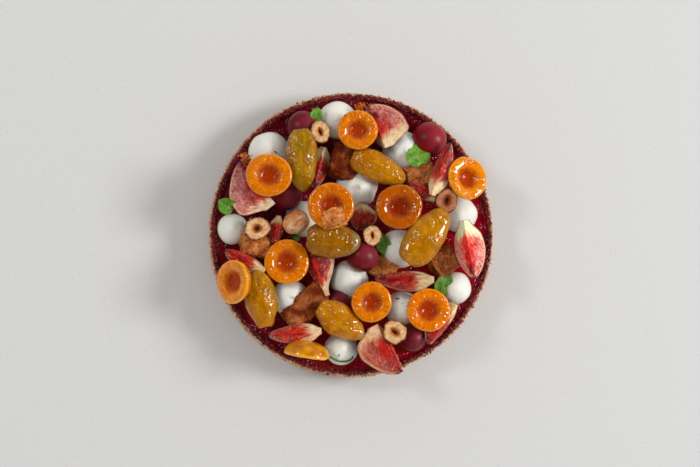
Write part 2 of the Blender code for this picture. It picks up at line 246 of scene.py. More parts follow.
def curve(points, count):
    """Points on a smooth curve through the given ones, evenly spaced along it."""
    points = np.asarray(points, float)
    padded = np.vstack([2 * points[0] - points[1], points, 2 * points[-1] - points[-2]])
    fine = []
    for i in range(len(points) - 1):
        p0, p1, p2, p3 = padded[i : i + 4]
        t = np.linspace(0.0, 1.0, 24, endpoint=False)[:, None]
        slope = 2 * p1 + (p2 - p0) * t
        bend = (2 * p0 - 5 * p1 + 4 * p2 - p3) * t**2
        fine.append(0.5 * (slope + bend + (3 * p1 - p0 - 3 * p2 + p3) * t**3))
    fine = np.vstack(fine + [points[-1:]])
    along = np.r_[0.0, np.cumsum(np.linalg.norm(np.diff(fine, axis=0), axis=1))]
    at = np.linspace(0.0, along[-1], count)
    return np.stack([np.interp(at, along, fine[:, k]) for k in range(points.shape[1])], 1)


# ---- meshes

def stack_faces(rows, columns):
    """Faces that join rings of points, and close each end onto one more point."""
    around = np.arange(columns)
    after = (around + 1) % columns
    step = np.arange(rows - 1)[:, None] * columns
    a, b = step + around, step + after
    quads = np.stack([a, a + columns, b + columns, b], -1).reshape(-1, 4).tolist()
    first, last, end = rows * columns, rows * columns + 1, (rows - 1) * columns
    fans = [[first, int(i), int(j)] for i, j in zip(around, after)]
    fans += [[last, int(j) + end, int(i) + end] for i, j in zip(around, after)]
    return quads + fans


def volume(points, faces):
    """A measure of a mesh's volume that is negative where its faces look inward."""
    total = 0.0
    for size in (3, 4):
        chosen = np.array([f for f in faces if len(f) == size], int)
        if not len(chosen):
            continue
        for k in range(1, size - 1):
            a, b, c = points[chosen[:, 0]], points[chosen[:, k]], points[chosen[:, k + 1]]
            total += np.einsum("ij,ij->i", a, np.cross(b, c)).sum()
    return total


def numbered(kind, rows):
    """Each row of a table, after its seed and the name of the node or piece."""
    return [(seed, f"{kind}_{seed + 1}", *row) for seed, row in enumerate(rows)]


def linked(name, data):
    """A new object in the scene."""
    obj = bpy.data.objects.new(name, data)
    bpy.context.scene.collection.objects.link(obj)
    return obj


def piece(name, points, faces, tint, material, nodes=(), grain=None):
    """A shown piece from points in metres in the row frame, with its colour and grain as attributes."""
    if volume(points - points.mean(0), faces) < 0.0:
        faces = [f[::-1] for f in faces]
    mesh = bpy.data.meshes.new(name)
    mesh.from_pydata(points.tolist(), [], faces)
    colour = mesh.attributes.new("tint", "FLOAT_COLOR", "POINT")
    colour.data.foreach_set("color", np.c_[np.clip(tint, 0.0, 1.0), np.ones(len(points))].ravel())
    lines = mesh.attributes.new("grain", "FLOAT_VECTOR", "POINT")
    lines.data.foreach_set("vector", np.ascontiguousarray(points if grain is None else grain).ravel())
    mesh.shade_smooth()
    mesh.materials.append(material)
    obj = linked(name, mesh)
    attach(obj, BODY)
    TOPS.append(points)
    if nodes:
        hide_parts(*nodes)
    return obj


def height_at(x, y, reach):
    """The highest point, in millimetres, of what is built so far within reach of a place."""
    points = np.vstack(TOPS) / MM
    near = np.hypot(points[:, 0] - x, points[:, 1] - y) < reach
    return points[near, 2].max()


def turn_matrix(turn):
    """The rotation for a heading, pitch and roll in degrees."""
    heading, pitch, roll = (math.radians(angle) for angle in turn)
    return np.array(Euler((roll, -pitch, heading), "XYZ").to_matrix())


def set_down(points, turn, x, y, top):
    """Local millimetres turned, with their middle over x, y and their top at that height, in metres."""
    points = points @ turn_matrix(turn).T
    low, high = points.min(0), points.max(0)
    held = np.array([(low[0] + high[0]) / 2, (low[1] + high[1]) / 2, high[2]])
    return (points + (np.array([x, y, top]) - held)) * MM


def seated(points, turn, node):
    """Local points in millimetres, turned and moved to the CAD node's middle and top, in metres."""
    points = points * MM @ turn_matrix(turn).T
    low, high = (np.array(corner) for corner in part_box(node))
    own_low, own_high = points.min(0), points.max(0)
    shift = (low + high - own_low - own_high) / 2.0
    shift[2] = high[2] - own_high[2] + RAISED.get(node, 0.0) * MM
    return points + shift


def reach(points):
    """How far each point is from the upright axis."""
    return np.hypot(points[:, 0], points[:, 1])


def spokes(angle, radius=1.0, height=0.0):
    """Points round the upright axis."""
    flat = height + 0.0 * angle
    return np.c_[radius * np.cos(angle), radius * np.sin(angle), flat]


def rings(profile, columns):
    """Points of a turned shape: its rings, then its first and last point. Also each point's angle."""
    angle = np.linspace(0.0, 2.0 * math.pi, columns, endpoint=False)
    inner = profile[1:-1]
    x = inner[:, :1] * np.cos(angle)
    y = inner[:, :1] * np.sin(angle)
    z = np.repeat(inner[:, 1:2], columns, axis=1)
    points = np.stack([x, y, z], -1).reshape(-1, 3)
    ends = np.array([(0.0, 0.0, profile[0, 1]), (0.0, 0.0, profile[-1, 1])])
    angles = np.r_[np.tile(angle, len(inner)), 0.0, 0.0]
    row = np.r_[np.repeat(np.arange(len(inner)), columns), 0, len(inner) - 1]
    return np.vstack([points, ends]), stack_faces(len(inner), columns), angles, row


ICO_T = (1.0 + math.sqrt(5.0)) / 2.0
ICO_POINTS = np.array(
    [(-1, ICO_T, 0), (1, ICO_T, 0), (-1, -ICO_T, 0), (1, -ICO_T, 0)]
    + [(0, -1, ICO_T), (0, 1, ICO_T), (0, -1, -ICO_T), (0, 1, -ICO_T)]
    + [(ICO_T, 0, -1), (ICO_T, 0, 1), (-ICO_T, 0, -1), (-ICO_T, 0, 1)],
    float,
) / math.hypot(1.0, ICO_T)
ICO_FACES = np.array(
    [(0, 11, 5), (0, 5, 1), (0, 1, 7), (0, 7, 10), (0, 10, 11), (1, 5, 9), (5, 11, 4)]
    + [(11, 10, 2), (10, 7, 6), (7, 1, 8), (3, 9, 4), (3, 4, 2), (3, 2, 6), (3, 6, 8)]
    + [(3, 8, 9), (4, 9, 5), (2, 4, 11), (6, 2, 10), (8, 6, 7), (9, 8, 1)]
)


def scattered(name, centres, sizes, tints, material, seed, rough=0.25, frames=None):
    """Small lumps joined into one mesh: centres in metres, sizes as (n, 3) half axes in millimetres."""
    rng = np.random.default_rng(seed)
    count = len(centres)
    lumps = ICO_POINTS[None] * (1.0 + rough * rng.uniform(-1, 1, (count, 12, 1)))
    lumps = lumps * np.asarray(sizes)[:, None, :] * MM
    if frames is None:
        frames, _ = np.linalg.qr(rng.normal(size=(count, 3, 3)))
        frames[np.linalg.det(frames) < 0, :, 0] *= -1.0
    lumps = np.einsum("nij,nkj->nki", frames, lumps) + np.asarray(centres)[:, None, :]
    faces = ICO_FACES[None] + 12 * np.arange(count)[:, None, None]
    tint = np.repeat(np.asarray(tints), 12, axis=0)
    return piece(name, lumps.reshape(-1, 3), faces.reshape(-1, 3).tolist(), tint, material)


# ---- materials

# The noise level over which syrup lies, and how far its share moves that level.
WET_EDGE = 0.62
WET_REACH = 0.35


def fill(tree, node, **inputs):
    """Sets a node's inputs, or links them where a socket is given. A name has _ for a space."""
    for name, value in inputs.items():
        socket = node.inputs[name.replace("_", " ")]
        if isinstance(value, bpy.types.NodeSocket):
            tree.links.new(value, socket)
        else:
            socket.default_value = value
    return node


def add(tree, kind, **inputs):
    """A new shader node of that kind."""
    return fill(tree, tree.nodes.new("ShaderNode" + kind), **inputs)


def paint(
    name, roughness, specular=0.5, relief=(), grain_relief=(), wet=None, mottle=(2.0, 0.15),
    subsurface=0.0, bleed=(1.0, 0.4, 0.2), bleed_mm=1.5,
):
    """A material that takes its colour from the mesh, with finer mottling and relief. Sizes in mm.

    relief and grain_relief hold (size, depth). wet is (size, depth, distortion, patch size, share):
    syrup that lies in crinkled patches over about that share of the surface.
    """
    material = bpy.data.materials.new(name)
    material.use_nodes = True
    tree = material.node_tree
    shader = fill(
        tree, tree.nodes["Principled BSDF"], Roughness=roughness, Specular_IOR_Level=specular,
        Subsurface_Weight=subsurface, Subsurface_Radius=bleed, Subsurface_Scale=bleed_mm * MM,
    )
    place = add(tree, "TexCoord").outputs["Object"]
    lines, tint = add(tree, "Attribute"), add(tree, "Attribute")
    lines.attribute_name, tint.attribute_name = "grain", "tint"

    def texture(vector, size, detail=2.0, distortion=0.0):
        scale = 1.0 / (size * MM)
        made = add(tree, "TexNoise", Scale=scale, Detail=detail, Distortion=distortion, Vector=vector)
        return made.outputs["Fac"]

    def ranged(value, start, stop, low, high):
        made = add(tree, "MapRange", From_Min=start, From_Max=stop, To_Min=low, To_Max=high, Value=value)
        return made.outputs["Result"]

    size, amount = mottle
    light = ranged(texture(place, size, 3.0), 0.3, 0.7, 1.0 - amount, 1.0 + amount)
    colour = add(tree, "VectorMath", Vector=tint.outputs["Color"])
    colour.operation = "SCALE"
    fill(tree, colour, Scale=light)
    fill(tree, shader, Base_Color=colour.outputs["Vector"])

    reliefs = [(texture(place, size), depth, 1.0) for size, depth in relief]
    reliefs += [(texture(lines.outputs["Vector"], size), depth, 1.0) for size, depth in grain_relief]
    if wet:
        size, depth, distortion, patch, share = wet
        edge = WET_EDGE - WET_REACH * share
        patches = ranged(texture(place, patch, 1.0), edge, edge + 0.06, 0.0, 1.0)
        reliefs.append((texture(place, size, 0.0, distortion), depth, patches))
    bump = None
    for height, depth, strength in reliefs:
        under = {"Normal": bump.outputs["Normal"]} if bump else {}
        bump = add(tree, "Bump", Strength=strength, Distance=depth * MM, Height=height, **under)
    if bump:
        fill(tree, shader, Normal=bump.outputs["Normal"])
    return material


PLUM_FLESH = paint(
    "plum_flesh_wet", 0.06, 0.7, wet=(2.2, 0.95, 0.8, 5.0, 0.45), mottle=(1.2, 0.08),
    subsurface=0.08, bleed=(1.0, 0.3, 0.03), bleed_mm=1.0,
)
PLUM_HOLLOW = paint(
    "plum_hollow", 0.08, 0.25, wet=(1.5, 0.8, 0.9, 3.0, 0.3), mottle=(1.2, 0.08),
    subsurface=0.08, bleed=(1.0, 0.3, 0.03), bleed_mm=1.0,
)
PLUM_SKIN = paint(
    "plum_skin_wet", 0.07, 0.7, wet=(2.4, 1.05, 0.8, 5.5, 0.50), mottle=(1.6, 0.09),
    subsurface=0.08, bleed=(1.0, 0.4, 0.03), bleed_mm=1.0,
)
FIG_CUT = paint(
    "fig_wedge_wet", 0.34, 0.3, relief=[(1.0, 0.06)], grain_relief=[(0.8, 0.08)],
    wet=(1.6, 0.6, 0.8, 4.0, 0.25), mottle=(0.7, 0.18),
    subsurface=0.08, bleed=(1.0, 0.25, 0.15), bleed_mm=0.8,
)
GRAPE_SKIN = paint(
    "grape_skin", 0.36, 0.25, relief=[(2.5, 0.02)], mottle=(1.0, 0.14),
    subsurface=0.1, bleed=(1.0, 0.15, 0.15), bleed_mm=1.0,
)
CREAM_WHITE = paint(
    "cream_white", 0.5, 0.3, relief=[(3.0, 0.10), (0.5, 0.012)], mottle=(4.0, 0.02),
    subsurface=0.7, bleed=(1.0, 0.8, 0.65), bleed_mm=4.0,
)
SPONGE_CRUMB = paint(
    "sponge_crumb", 0.4, 0.06, relief=[(1.1, 0.35), (0.45, 0.15)],
    wet=(1.5, 0.6, 0.8, 3.5, 0.2), mottle=(0.6, 0.2),
)
NUT_FLESH = paint(
    "nut_flesh", 0.5, 0.35, relief=[(1.2, 0.10), (0.4, 0.04)], grain_relief=[(0.7, 0.10)],
    mottle=(0.8, 0.10), subsurface=0.08, bleed=(1.0, 0.7, 0.4), bleed_mm=0.8,
)
CRUST_CRUMB = paint("crust_crumb", 0.7, 0.35, relief=[(1.2, 0.4), (0.4, 0.15)], mottle=(0.7, 0.3))
CRUST_GLAZED = paint("crust_glazed", 0.2, 0.6, relief=[(1.0, 0.2)], mottle=(0.8, 0.3))
JELLY_RED = paint(
    "jelly_red", 0.06, 0.55, relief=[(8.0, 0.25)], wet=(1.3, 0.8, 0.5, 6.0, 0.45), mottle=(4.0, 0.2)
)
LEAF_GREEN = paint(
    "leaf_green", 0.4, 0.4, relief=[(0.8, 0.08)], mottle=(0.8, 0.15), subsurface=0.1,
    bleed=(0.9, 1.0, 0.2), bleed_mm=0.5,
)
SEED_TAN = paint("seed_tan", 0.3, 0.5, relief=[(0.4, 0.04)], mottle=(0.5, 0.2))
AMBER = paint("amber_crumb", 0.2, 0.6, relief=[(0.7, 0.2)], mottle=(0.5, 0.3))

# ---- crust and jelly


def make_crust():
    """The ring and its floor: a rough crumb wall, darker and glazed on top and inside the rim."""
    outer, inner, top = TART_RADIUS, TART_RADIUS - CRUST_WALL, CRUST_HEIGHT
    profile = curve(
        [(inner, JELLY_TOP - 5.0), (inner, top - 1.2), (inner + 0.9, top), (outer - 1.0, top)]
        + [(outer, top - 0.9), (outer, top - 6.0), (outer, 10.0)]
        + [(outer - 0.2, 2.0), (outer - 1.0, 0.2)],
        44,
    )
    under = JELLY_TOP - 6.0
    profile = np.vstack([(0.0, under), (30.0, under), (inner - 0.5, under), profile])
    profile = np.vstack([profile, (outer - 1.5, 0.0), (30.0, 0.0), (0.0, 0.0)])
    points, faces, angle, _ = rings(profile, 720)
    radius = reach(points)
    shell = smooth(inner - 0.4, inner, radius)
    out = spokes(angle)
    over = smooth(top - 2.0, top - 0.5, points[:, 2])
    way = out * (1.0 - 0.6 * over)[:, None] + np.array([0, 0, 1.0]) * over[:, None]
    inward = (radius < inner + 0.6)[:, None]
    way = np.where(inward, -0.4 * out + np.array([0, 0, 0.6]), way)
    relief = 0.45 * noise(points, 3.2, 1) + 0.35 * noise(points, 1.4, 2) + 0.18 * noise(points, 0.7, 3)
    wave = 0.5 * noise(out * 4.0, 1.0, 4)
    base = smooth(0.3, 1.5, points[:, 2])
    points = points + way * (relief * base * shell)[:, None] + out * (wave * base * shell)[:, None]
    tan, brown, dark = rgb(230, 188, 146), rgb(190, 136, 94), rgb(104, 62, 40)
    wall = mixed(tan, brown, 0.5 + 0.9 * noise(points, 2.2, 5))
    wall = mixed(wall, dark, smooth(0.25, 0.6, noise(points, 1.5, 6)) * 0.8)
    wall = mixed(wall, rgb(205, 120, 50), smooth(0.35, 0.6, noise(points, 2.6, 7)) * 0.6)
    maroon = mixed(rgb(128, 20, 30), rgb(80, 11, 19), 0.5 + noise(points, 1.6, 8))
    edge = radius + 0.8 * noise(points, 1.8, 9)
    glazed = (1.0 - smooth(outer - 1.1, outer - 0.4, edge)) * smooth(top - 3.5, top - 2.0, points[:, 2])
    glazed = np.maximum(glazed, radius < inner + 0.7)
    tint = mixed(wall, maroon, glazed)
    piece("crumb_crust", points * MM, faces, tint, CRUST_CRUMB, ["crust"])


def make_crumbs(name, rng, centres, small, big, kinds, shares, uneven, material, seed):
    """Crumbs of a few kinds of colour at those places, each as uneven in tone as given."""
    count = len(centres)
    size = rng.uniform(small, big, (count, 1)) * rng.uniform(0.7, 1.2, (count, 3))
    tints = np.array([rgb(*kind) for kind in kinds])[rng.choice(len(kinds), count, p=shares)]
    if uneven:
        tints = tints * rng.uniform(*uneven, (count, 1))
    scattered(name, centres * MM, size, tints, material, seed)


def make_crust_crumbs():
    """Loose crumbs that cling to the wall and to the glazed rim."""
    rng = np.random.default_rng(21)
    angle = rng.uniform(0, 2 * math.pi, WALL_CRUMBS)
    height = rng.uniform(0.6, CRUST_HEIGHT - 0.6, WALL_CRUMBS)
    radius = TART_RADIUS + rng.uniform(-0.3, 0.3, WALL_CRUMBS)
    kinds = [(234, 194, 152), (198, 144, 100), (104, 60, 38), (226, 136, 66)]
    shares, places = [0.46, 0.32, 0.12, 0.10], spokes(angle, radius, height)
    make_crumbs("wall_crumbs", rng, places, 0.35, 0.95, kinds, shares, (0.8, 1.15), CRUST_CRUMB, 22)
    inside = TART_RADIUS - CRUST_WALL - 0.4
    angle = rng.uniform(0, 2 * math.pi, RIM_CRUMBS)
    radius = rng.uniform(inside, TART_RADIUS - 0.5, RIM_CRUMBS)
    height = CRUST_HEIGHT - 0.15 + rng.uniform(-0.2, 0.25, RIM_CRUMBS)
    height -= 1.2 * smooth(0.6, 0.0, radius - inside)
    kinds = [(134, 22, 32), (84, 12, 20), (150, 56, 54), (164, 96, 68)]
    shares, places = [0.5, 0.34, 0.1, 0.06], spokes(angle, radius, height)
    make_crumbs("rim_crumbs", rng, places, 0.25, 0.7, kinds, shares, None, CRUST_GLAZED, 23)


def make_jelly():
    """Dark red jelly, uneven and drawn up a little where it meets the crust."""
    radius = TART_RADIUS - CRUST_WALL + 0.1
    out = np.r_[0.0, np.linspace(3.0, radius, 90)]
    lift = 0.9 * smooth(radius - 2.2, radius, out)
    profile = np.c_[out, JELLY_TOP + lift]
    profile = np.vstack([profile, (radius, 4.0), (30.0, 4.0), (0.0, 4.0)])
    points, faces, _, _ = rings(profile, 300)
    top = points[:, 2] > JELLY_TOP - 0.5
    points[:, 2] += top * (0.30 * noise(points, 9.0, 31) + 0.14 * noise(points, 2.4, 32))
    tint = mixed(rgb(156, 8, 34), rgb(112, 5, 24), 0.5 + noise(points, 9.0, 33))
    # Painted light and shade: the red is painted brighter toward the lower right, the lit side, and
    # darker toward the upper left.
    sunny = smooth(-0.4, 0.9, (points[:, 0] - points[:, 1]) / (1.4 * radius))
    shaded = mixed(tint, rgb(84, 6, 22), [0.65])
    tint = mixed(shaded, mixed(tint, rgb(190, 8, 26), [0.5]), sunny)
    # Painted shade: a darker band along the crust wall, weaker on the lit side.
    out = reach(points) + 3.0 * noise(points, 5.0, 34)
    tint = mixed(tint, rgb(98, 7, 22), (0.75 - 0.4 * sunny) * smooth(radius - 9.0, radius - 1.0, out))
    piece("berry_jelly", points * MM, faces, tint, JELLY_RED, ["jelly"])


# ---- toppings


def make_cream(radius, tip, lean, lumps, seed):
    """A piped kiss, bulging over its foot, with a soft leaning tip."""
    height = radius * 1.0
    shape = [(0.0, tip), (0.10, 0.955), (0.30, 0.885), (0.55, 0.77), (0.80, 0.55), (0.97, 0.28)]
    shape += [(0.96, 0.06), (0.86, 0.0), (0.4, 0.0), (0.0, 0.0)]
    profile = curve(np.array(shape) * (radius, height), 40)
    points, faces, _, _ = rings(profile, 72)
    share = np.clip(points[:, 2] / height, 0.0, 1.2)
    swirl = noise(points, 7.0, seed) * lumps + 0.35 * noise(points, 14.0, seed + 40)
    centre = np.array([0.0, 0.0, 0.35 * height])
    way = points - centre
    way /= np.linalg.norm(way, axis=1, keepdims=True)
    points = points + way * (swirl * smooth(0.0, 0.15, share))[:, None]
    turn = math.radians(lean)
    points[:, 0] += 0.08 * radius * math.cos(turn) * share**3
    points[:, 1] += 0.08 * radius * math.sin(turn) * share**3
    tint = np.tile(rgb(253, 248, 235), (len(points), 1))
    # Painted shade: the lower part is painted warm peach, for the warm shade low on the kiss.
    tint = mixed(tint, rgb(246, 208, 174), 0.9 * smooth(0.55, 0.05, share))
    return points, faces, tint


def make_sponge(length, width, height, soaked, seed, cuts=26):
    """A torn chunk, porous all over. Its grid is a box's, so that it follows the CAD chunk."""
    line = np.linspace(-0.5, 0.5, cuts + 1)
    index, places, faces = {}, [], []

    def at(p):
        key = tuple(np.round(p, 5))
        if key not in index:
            index[key] = len(places)
            places.append(p)
        return index[key]

    for axis in range(3):
        for end in (-0.5, 0.5):
            for i in range(cuts):
                for j in range(cuts):
                    corners = []
                    for a, b in ((i, j), (i + 1, j), (i + 1, j + 1), (i, j + 1)):
                        p = np.zeros(3)
                        p[axis], p[(axis + 1) % 3], p[(axis + 2) % 3] = end, line[a], line[b]
                        corners.append(at(p))
                    faces.append(corners if end > 0 else corners[::-1])
    cube = np.array(places)
    lean = 1.0 - 0.10 * (cube[:, 2] + 0.5)
    rounding = 1.0 - 0.22 * (np.abs(cube).sum(1) - 0.5)
    points = np.c_[cube[:, 0] * length * lean, cube[:, 1] * width * lean, cube[:, 2] * height]
    points *= rounding[:, None]
    way = points / np.linalg.norm(points, axis=1, keepdims=True)
    pores = smooth(0.15, 0.5, noise(points, 1.2, seed + 61))
    relief = 1.3 * noise(points, 6.0, seed + 60) + 0.45 * noise(points, 2.2, seed + 62) - 0.35 * pores
    points = points + way * relief[:, None]
    dry = mixed(rgb(232, 150, 84), rgb(198, 106, 46), 0.5 + noise(points, 3.0, seed + 63))
    tint = mixed(dry, rgb(108, 32, 2), soaked + 0.5 * noise(points, 5.0, seed + 65))
    # Painted shade: the pores are painted darker brown, for the shade inside them.
    tint = mixed(tint, rgb(84, 26, 8), 0.6 * pores)
    pale = (0.5 - 0.4 * soaked) * smooth(0.2, 0.6, noise(points, 1.0, seed + 64))
    tint = mixed(tint, rgb(212, 144, 92), pale)
    return points, faces, tint


def ball(length, width, height, rows=56, columns=88):
    """An oval whose poles lie on the long axis. Also the unit sphere's points."""
    polar = np.linspace(0.0, math.pi, rows + 2)
    profile = np.c_[np.sin(polar), np.cos(polar)]
    profile[0, 0] = profile[-1, 0] = 0.0
    points, faces, _, _ = rings(profile, columns)
    unit = np.c_[points[:, 2], points[:, 0], points[:, 1]]
    return unit * (length, width, height) / 2.0, faces, unit


def make_grape(size, seed):
    """A grape with a small scar at one end."""
    points, faces, unit = ball(1.06 * size, size, 0.97 * size)
    scar = smooth(0.985, 1.0, unit[:, 0])
    points = points * (1.0 + 0.012 * noise(unit, 0.8, seed))[:, None] * (1.0 - 0.04 * scar)[:, None]
    tint = mixed(rgb(120, 8, 18), rgb(78, 3, 10), 0.5 + 0.8 * noise(unit, 0.7, seed + 1))
    return points, faces, tint, unit


def make_plum_back(length, width, height, green, pale, narrow, seed):
    """A plum with a shallow seam, a puckered stem end and, beyond pale, a cut end."""
    points, faces, unit = ball(length, width, height, 72, 96)
    along, side = unit[:, 0], unit[:, 1]
    points[:, 1] *= 1.0 + 0.16 * along
    points[:, 1] *= 1.0 - narrow * smooth(0.0, 0.7, along) + 0.9 * narrow * smooth(0.7, 0.99, along)
    below = points[:, 2] < 0.0
    points[:, 2] *= np.where(below, 0.7, 1.0 - 0.05 * np.exp(-((side / 0.07) ** 2)))
    angle = np.arctan2(unit[:, 2], side)
    near = np.hypot(side, unit[:, 2])
    pucker = smooth(0.42, 0.0, near) * (along > 0.0)
    points[:, 0] -= 1.6 * pucker
    wrinkle = np.cos(9.0 * angle + 3.0 * noise(unit, 0.6, seed + 5))
    wrinkle = wrinkle * smooth(0.9, 0.15, near) * smooth(0.0, 0.12, near)
    points += unit * (0.22 * wrinkle * (along > 0.0))[:, None]
    stretched = points * (0.4, 1.0, 1.0)
    points += unit * (0.8 * noise(points, 9.0, seed) + 0.08 * noise(stretched, 2.4, seed + 1))[:, None]
    gold, ochre, olive = rgb(206, 130, 2), rgb(186, 104, 1), rgb(142, 108, 4)
    tint = mixed(gold, ochre, 0.5 + 0.9 * noise(points, 5.0, seed + 2))
    tint = mixed(tint, olive, green * (0.9 + 0.9 * noise(points, 7.0, seed + 3)))
    tint = mixed(tint, rgb(222, 156, 26), 0.4 * smooth(0.25, 0.6, noise(points, 2.2, seed + 4)))
    streak = np.c_[2.0 * along, 3.0 * angle, near * 0.0]
    tint = mixed(tint, rgb(216, 150, 20), 0.5 * smooth(0.1, 0.6, noise(streak, 0.8, seed + 9)))
    # Painted shade: the sides are painted darker brown toward the underside, where they turn from the
    # light.
    tint = mixed(tint, rgb(134, 74, 2), 0.5 * smooth(0.45, 0.0, unit[:, 2]))
    mark = smooth(0.1, 0.5, noise(points, 1.6, seed + 6)) * smooth(0.35, 0.1, near) * (along > 0.0)
    tint = mixed(tint, rgb(92, 44, 12), 0.8 * mark)
    cut = smooth(pale, pale - 0.12, along + 0.10 * noise(points, 3.0, seed + 7))
    flesh = mixed(rgb(176, 160, 92), rgb(150, 124, 60), 0.5 + noise(points, 2.0, seed + 8))
    tint = mixed(tint, flesh, 0.85 * cut)
    grain = points * (0.25, 1.0, 1.0) * MM
    return points, faces, tint, grain


def make_plum_cup(length, width, seed):
    """A plum half: a wet ring of flesh round the stone's hollow, over a rounded skin."""
    radius = length / 2.0
    depth = 0.68 * radius
    hollow = 0.40 * depth
    dip = [(0.0, -1.0), (0.15, -0.97), (0.28, -0.82), (0.42, -0.48), (0.56, -0.15), (0.70, 0.0)]
    rest = [(0.86, 0.0), (0.96, -0.06), (1.0, -0.2), (0.96, -0.40), (0.84, -0.64), (0.64, -0.84)]
    rest += [(0.4, -0.95), (0.0, -1.0)]
    dip, rest = np.array(dip) * (radius, hollow), np.array(rest) * (radius, depth)
    profile = curve(np.vstack([dip, rest]), 66)
    points, faces, angle, row = rings(profile, 128)
    out = reach(points) / radius
    upper = smooth(-0.3 * depth, -0.12 * depth, points[:, 2]) + (out < 0.7) * (row < 40)
    upper = np.clip(upper, 0.0, 1.0)
    spoke = spokes(angle)
    wobble = 0.035 * noise(spoke, 0.9, seed + 1) + 0.012 * noise(spoke, 0.25, seed + 2)
    points[:, :2] *= (1.0 + wobble)[:, None]
    points[:, 1] *= width / length
    fibre = np.c_[spoke[:, :2] * radius, 0.22 * out * radius]
    points[:, 2] += upper * (
        0.45 * noise(points, 7.0, seed + 3) + 0.10 * noise(points, 2.6, seed + 4)
        + 0.06 * noise(fibre, 1.5, seed + 5) * smooth(0.1, 0.4, out)
    )
    # The hollow is painted a deeper, darker orange: partly the flesh's own colour by the stone, partly
    # painted shade for the hollow's depth.
    ring, deep = rgb(228, 122, 2), rgb(168, 54, 1)
    tint = mixed(deep, ring, smooth(0.28, 0.66, out + 0.06 * noise(points, 2.0, seed + 6)))
    dark = 0.7 * smooth(0.0, 0.5, noise(fibre, 1.3, seed + 7)) * smooth(0.62, 0.3, out)
    tint = mixed(tint, rgb(140, 38, 2), dark)
    ruddy = 0.6 * smooth(-0.1, 0.5, noise(fibre, 1.6, seed + 8)) * smooth(0.5, 0.7, out)
    tint = mixed(tint, rgb(204, 92, 2), ruddy)
    golden = 0.5 * smooth(0.2, 0.6, noise(points, 2.4, seed + 9)) * smooth(0.5, 0.75, out)
    tint = mixed(tint, rgb(244, 156, 24), golden)
    rim = smooth(0.90, 0.98, out) * upper
    tint = mixed(tint, rgb(246, 160, 24), 0.6 * rim)
    skin = mixed(rgb(208, 122, 6), rgb(170, 86, 4), 0.5 + noise(points, 5.0, seed + 10))
    tint = mixed(skin, tint, upper)
    grain = np.c_[spoke[:, :2] * radius, 0.25 * out * radius + 0.3 * points[:, 2]] * MM
    return points, faces, tint, grain


def make_nut(length, width, hollow, slit, seed):
    """A hazelnut half: a pale cut face with its hollow, and a streaked skin below."""
    radius = length / 2.0
    depth = 0.9 * width / 2.0
    profile = curve(
        [(0.0, -2.6), (0.5 * hollow * radius, -2.3), (0.85 * hollow * radius, -1.2)]
        + [(1.1 * hollow * radius, -0.25), (1.35 * hollow * radius, 0.0), (0.84 * radius, 0.05)]
        + [(0.93 * radius, -0.05 * depth), (1.0 * radius, -0.2 * depth), (0.95 * radius, -0.42 * depth)]
        + [(0.80 * radius, -0.68 * depth), (0.5 * radius, -0.92 * depth), (0.0, -depth)],
        50,
    )
    points, faces, angle, row = rings(profile, 88)
    out = reach(points) / radius
    spoke = spokes(angle)
    squeeze = 1.0 - (1.0 - slit) * smooth(0.75, 0.2, out) * (row < 30)
    facets = 0.11 * noise(spoke, 0.7, seed + 1) + 0.02 * noise(spoke, 0.2, seed + 2)
    points[:, :2] *= (1.0 + facets)[:, None]
    points[:, 1] *= width / length * squeeze
    face = smooth(-0.35 * depth, -0.1 * depth, points[:, 2])
    inside = (out < 1.2 * hollow) & (row < 30)
    points[:, 2] += 0.12 * noise(points, 1.6, seed + 3) * np.maximum(face, inside)
    flesh = mixed(rgb(236, 196, 146), rgb(212, 156, 100), 0.5 + noise(points, 1.6, seed + 4))
    ringed = smooth(0.78, 0.96, out + 0.09 * noise(spoke, 0.3, seed + 5))
    flesh = mixed(flesh, rgb(170, 92, 38), 0.85 * ringed)
    flesh = mixed(flesh, rgb(86, 36, 14), smooth(0.90, 1.0, out + 0.10 * noise(spoke, 0.22, seed + 8)))
    near = smooth(1.5 * hollow, 0.95 * hollow, out) * (row < 30)
    flesh = mixed(flesh, rgb(196, 112, 44), near)
    # Painted shade: the hollow is painted near-black brown, for the shade in the hole.
    flesh = mixed(flesh, rgb(64, 26, 12), smooth(0.85 * hollow, 0.45 * hollow, out) * (row < 30))
    fibres = points * (0.35, 1.0, 1.0)
    skin = mixed(rgb(222, 166, 112), rgb(186, 112, 58), 0.4 + 1.1 * noise(fibres, 1.0, seed + 6))
    skin = mixed(skin, rgb(240, 204, 164), smooth(0.0, 0.5, noise(fibres, 2.2, seed + 7)) * 0.8)
    bare = smooth(-0.15 * depth, -0.4 * depth, points[:, 2])
    skin = mixed(rgb(150, 84, 44), skin, bare)
    tint = mixed(skin, flesh, np.maximum(face, inside))
    grain = np.c_[spoke[:, :2] * radius, 0.3 * out * radius] * MM
    return points, faces, tint, grain


def fig_radius(share, outline):
    """The fig's radius, as a share of the largest, at a share of its length from the blossom end."""
    widest_at, shoulder, neck = outline
    back = np.clip((widest_at - share) / widest_at, 0.0, 1.0)
    front = np.clip((share - widest_at) / (1.0 - widest_at), 0.0, 1.0) ** shoulder
    round_end = np.clip(1.0 - back**FIG_BLUNT, 0.0, 1.0) ** (1.0 / FIG_BLUNT)
    slope = neck + (1.0 - neck) * 0.5 * (1.0 + np.cos(math.pi * front))
    return np.where(share < widest_at, round_end, slope)


